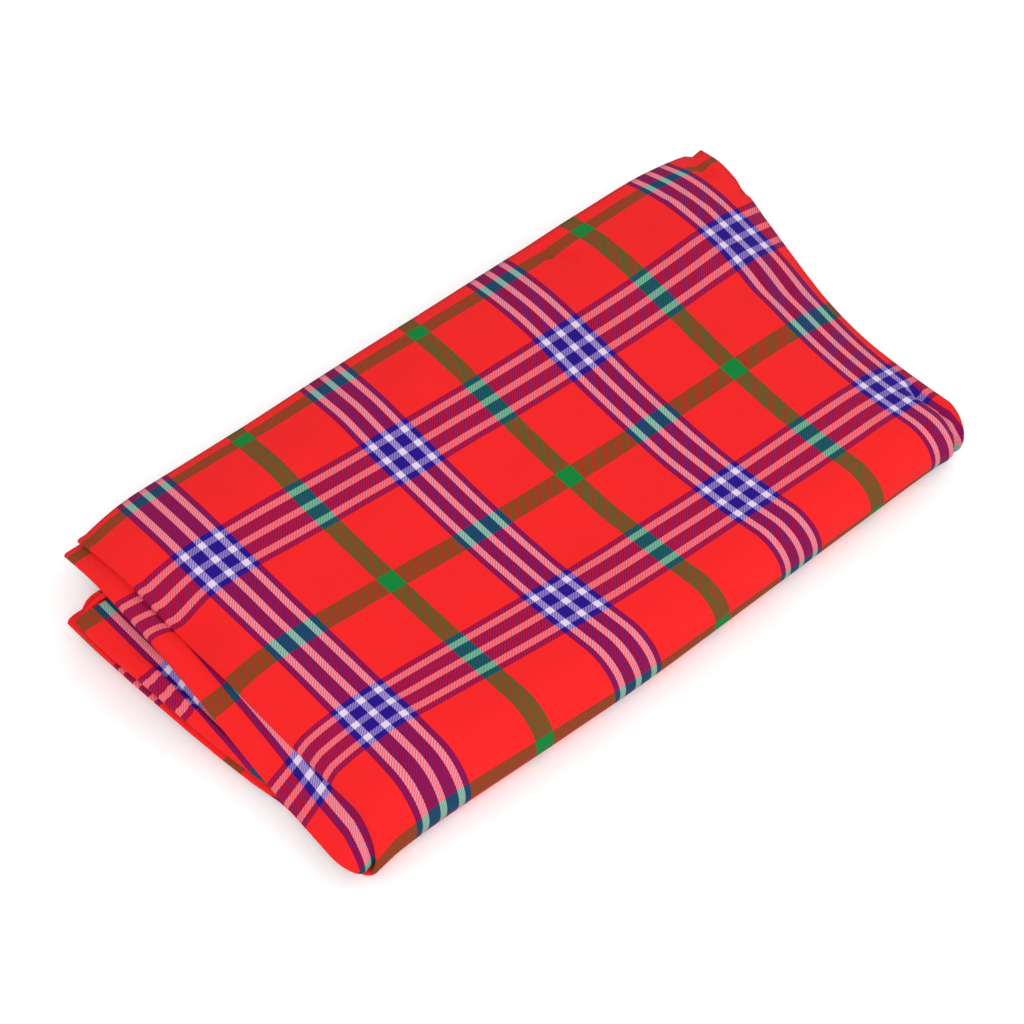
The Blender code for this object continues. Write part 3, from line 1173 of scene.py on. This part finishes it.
@dataclass(frozen=True)
class TwillCheck:
    """The blanket's own finish: a two-and-two twill in a red, blue, white and green check."""

    name: str = "shuka twill check"
    gamma: float = 2.2
    light: float = 1.22
    yarns_per_repeat: float = 280.0
    lengthways_share: float = 0.56
    rib_depth: float = 0.14
    mottle: float = 0.05
    cloud: tuple[float, float, float] = (3.5, 3.0, 0.6)
    roughness: float = 0.88
    specular: float = 0.15
    bump_strength: float = 0.35
    bump_height: float = 0.00018
    bands: tuple[Band, ...] = (
        Band(0.0150, Yarn.WHITE), Band(0.0720, Yarn.BLUE), Band(0.1020, Yarn.WHITE),
        Band(0.1300, Yarn.BLUE), Band(0.4540, Yarn.RED), Band(0.5000, Yarn.GREEN),
    )
    red_bloom: float = 0.115
    bloom_from: float = 0.60
    bloom_over: float = 0.30

    def encoded(self, yarn: Yarn) -> tuple[float, float, float, float]:
        """Return a yarn's colour and alpha as the ramp holds them, still encoded."""
        return (*(value * self.dim() for value in yarn.value), 1.0)

    def dim(self) -> float:
        """Return how much darker a colour is held, so that this scene's light brings it back."""
        return self.light ** (-1.0 / self.gamma)

    def stripes(self, graph: Graph, repeats: Wire) -> Wire:
        """Give the colour of the yarns that cross one direction.

        Args:
            graph: The material's nodes.
            repeats: The place in repeats of the check.

        Returns:
            The colour, still encoded.
        """
        away = abs((repeats + 0.5) % 1.0 - 0.5) * 2.0
        starts = [0.0, *(2.0 * band.reach for band in self.bands[:-1])]
        stops = [(at, self.encoded(band.yarn)) for at, band in zip(starts, self.bands, strict=True)]
        return graph.wire(graph.node("ShaderNodeValToRGB", inputs={0: away}, stops=stops))

    def material(self) -> bpy.types.Material:
        """Make the material.

        Returns:
            A twill whose colour and relief come from its nodes.
        """
        graph = Paint(self.name)
        place = graph.node("ShaderNodeUVMap", {"uv_map": "check_repeats"})
        split = graph.node("ShaderNodeSeparateXYZ", inputs={0: place.outputs[0]})
        along, across = graph.wire(split, 0), graph.wire(split, 1)
        warp, weft = along * self.yarns_per_repeat, across * self.yarns_per_repeat
        float_over = ((warp.floor() + weft.floor()) % 4.0) < 1.5
        share = float_over * (2.0 * self.rib_depth) + (self.lengthways_share - self.rib_depth)
        colour = graph.blend(share, self.stripes(graph, across), self.stripes(graph, along))
        parts = graph.node("ShaderNodeSeparateXYZ", inputs={0: colour.socket})
        dim = self.dim()
        spare = graph.wire(parts, 0) - graph.wire(parts, 1) - self.bloom_from * dim
        vivid = spare / (self.bloom_over * dim)
        bloom = graph.maths("MINIMUM", graph.maths("MAXIMUM", vivid, 0.0), 1.0) * (self.red_bloom * dim)
        pale = graph.node("ShaderNodeCombineXYZ", inputs={1: bloom, 2: bloom})
        colour = graph.wire(graph.node(
            "ShaderNodeVectorMath", {"operation": "ADD"}, {0: colour.socket, 1: pale.outputs[0]}
        ))
        scale, detail, rough = self.cloud
        cloud = graph.node(
            "ShaderNodeTexNoise",
            inputs={"Vector": place.outputs[0], "Scale": scale, "Detail": detail, "Roughness": rough},
        )
        tone = graph.wire(cloud, 0) * self.mottle + (1.0 - 0.5 * self.mottle)
        toned = graph.scaled(colour, tone)
        linear = graph.node("ShaderNodeGamma", inputs={0: toned, 1: self.gamma})
        graph.feed(graph.shader.inputs["Base Color"], linear.outputs[0])
        rib = ((warp + weft) * (math.pi / 2.0)).sine()
        bump = graph.node(
            "ShaderNodeBump",
            inputs={"Strength": self.bump_strength, "Distance": self.bump_height, "Height": rib},
        )
        graph.feed(graph.shader.inputs["Normal"], bump.outputs[0])
        graph.shader.inputs["Roughness"].default_value = self.roughness
        graph.shader.inputs["Specular IOR Level"].default_value = self.specular
        return graph.material


@dataclass(frozen=True)
class FloorPaint:
    """The studio's pale floor."""

    name: str = "studio floor"
    colour: tuple[float, float, float, float] = (0.93, 0.93, 0.93, 1.0)
    roughness: float = 0.9

    def material(self) -> bpy.types.Material:
        """Make the material.

        Returns:
            A plain matt finish.
        """
        graph = Paint(self.name)
        graph.shader.inputs["Base Color"].default_value = self.colour
        graph.shader.inputs["Roughness"].default_value = self.roughness
        return graph.material


@dataclass(frozen=True)
class Lamp:
    """One soft square light, aimed at the origin: its place, the side of its face and its watts."""

    name: str
    place: tuple[float, float, float]
    size: float
    power: float

    def hang(self) -> None:
        """Make the light."""
        source = bpy.data.lights.new(self.name, "AREA")
        source.size, source.energy = self.size, self.power
        holder = bpy.data.objects.new(self.name, source)
        holder.location = self.place
        holder.rotation_euler = (-Vector(self.place)).to_track_quat("-Z", "Y").to_euler()
        bpy.context.scene.collection.objects.link(holder)


@dataclass
class Studio:
    """The floor and the soft lights."""

    floor_half: float = 6.0
    sky: float = 0.78
    sky_colour: tuple[float, float, float, float] = (1.0, 1.0, 1.0, 1.0)
    lamps: tuple[Lamp, ...] = (
        Lamp("key", (-1.1, -1.3, 2.1), 1.6, 38.0),
        Lamp("fill", (1.5, -0.6, 1.5), 1.6, 9.0),
    )

    def build(self) -> None:
        """Make the floor, the world and the lights."""
        mesh = bpy.data.meshes.new("floor")
        h = self.floor_half
        mesh.from_pydata([(-h, -h, 0.0), (h, -h, 0.0), (h, h, 0.0), (-h, h, 0.0)], [], [(0, 1, 2, 3)])
        floor = bpy.data.objects.new("floor", mesh)
        floor.data.materials.append(FloorPaint().material())
        bpy.context.scene.collection.objects.link(floor)
        world = bpy.data.worlds.new("studio")
        world.use_nodes = True
        background = world.node_tree.nodes["Background"]
        background.inputs["Color"].default_value = self.sky_colour
        background.inputs["Strength"].default_value = self.sky
        bpy.context.scene.world = world
        for lamp in self.lamps:
            lamp.hang()
        bpy.context.scene.view_settings.view_transform = "Standard"


@dataclass
class PhotoCamera:
    """The camera at the photograph's viewing angle."""

    azimuth: float = -40.13
    elevation: float = 51.5
    shift_right: float = 0.0351
    shift_up: float = 0.0212
    distance: float = 0.98564
    aim_height: float = 0.0465
    lens: float = 58.0
    sensor_width: float = 36.0

    def build(self, pile: Pile) -> None:
        """Place the camera.

        Args:
            pile: The pile, for the middle of its underside.
        """
        a, e = math.radians(self.azimuth), math.radians(self.elevation)
        back = Vector((math.sin(a) * math.cos(e), -math.cos(a) * math.cos(e), math.sin(e)))
        right = Vector((math.cos(a), math.sin(a), 0.0))
        up = back.cross(right)
        aim = Vector((-pile.origin_x, -pile.origin_y, self.aim_height))
        place = aim - right * self.shift_right - up * self.shift_up + back * self.distance
        lens = bpy.data.cameras.new("photo camera")
        lens.lens = self.lens
        lens.sensor_width = self.sensor_width
        camera = bpy.data.objects.new("photo camera", lens)
        turn = Matrix((right, up, back)).transposed().to_4x4()
        camera.matrix_world = Matrix.Translation(place) @ turn
        bpy.context.scene.collection.objects.link(camera)
        bpy.context.scene.camera = camera


def main() -> None:
    """Build the blanket, its studio and its camera."""
    logging.basicConfig(level=logging.INFO, format="%(name)s: %(message)s")
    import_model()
    pile = Pile()
    PhotoCamera().build(pile)
    Studio().build()
    cloth = ShukaSheet(pile, Weave()).build(TwillCheck())
    LOG.info("%s: %d faces before its thickness", cloth.name, len(cloth.data.polygons))
    bpy.context.view_layer.update()


if __name__ == "__main__":
    main()
